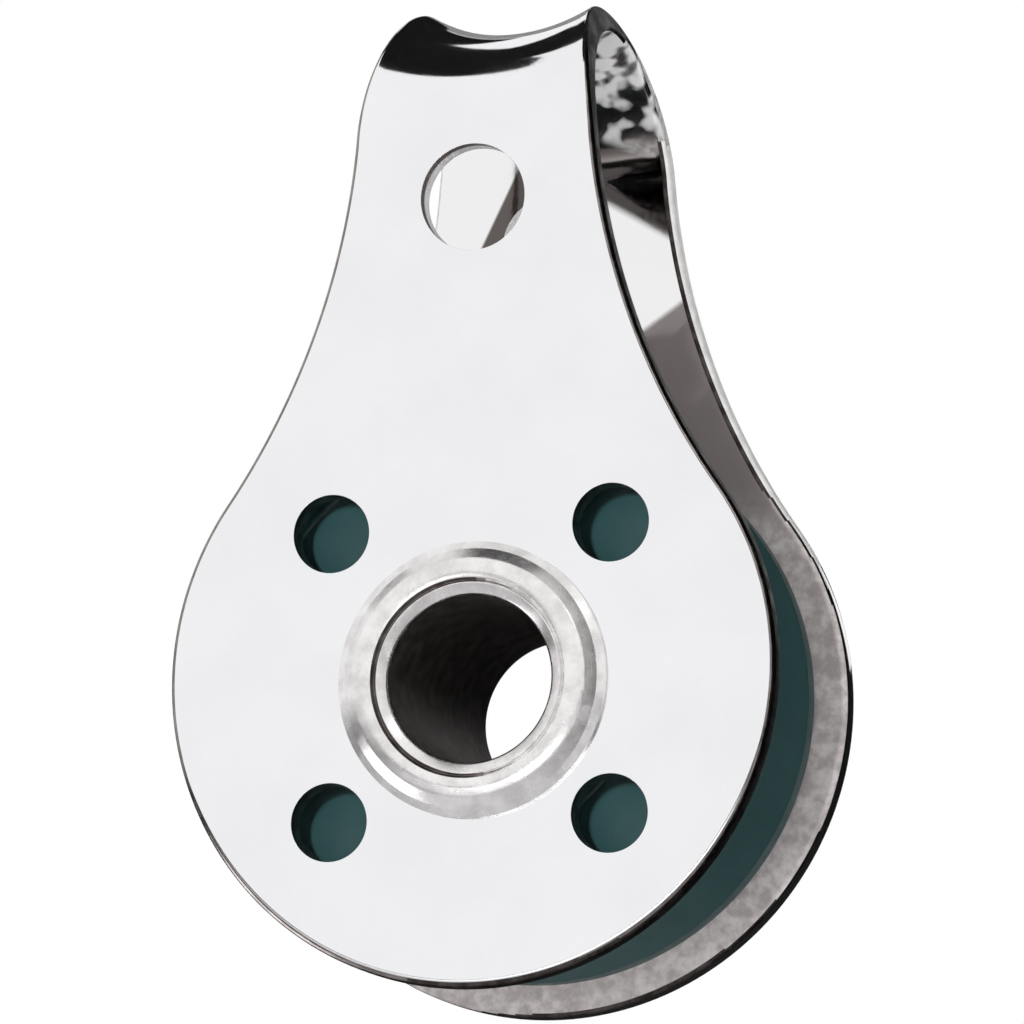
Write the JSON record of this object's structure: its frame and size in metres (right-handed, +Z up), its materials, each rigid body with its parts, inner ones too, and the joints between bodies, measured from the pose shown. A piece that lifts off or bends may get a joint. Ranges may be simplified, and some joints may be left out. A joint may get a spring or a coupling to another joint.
{
  "type": "wire rope block",
  "caption": "Small single wire rope block: a polished folded strap with a bell-mouthed head holds a grooved plastic sheave on a hollow axle.",
  "frame": {"origin": "on the axis of the head pin's hole, midway between the cheeks", "axes": "+Z up from the sheave to the head loop, +Y from the front cheek to the back one along the axle, +X to the right of the front cheek"},
  "size_m": [0.0278, 0.0156, 0.0448],
  "materials": {
    "polished_strap": "mirror-polished stainless steel",
    "rolled_axle": "stainless tube, turned and rolled, semi-bright",
    "bearing": "ground stainless steel",
    "sheave_plastic": "dark teal self-lubricating plastic, satin"
  },
  "bodies": {
    "strap_body": {"strap": "polished_strap", "hollow_axle": "rolled_axle", "bearing_sleeve": "bearing"},
    "sheave_body": {"sheave": "sheave_plastic"}
  },
  "joints": [
    {"name": "sheave_spin", "type": "hinge", "parent": "strap_body", "child": "sheave_body", "pos_m": [0, 0, -0.0213], "axis": [0, 1, 0], "continuous": true}
  ]
}
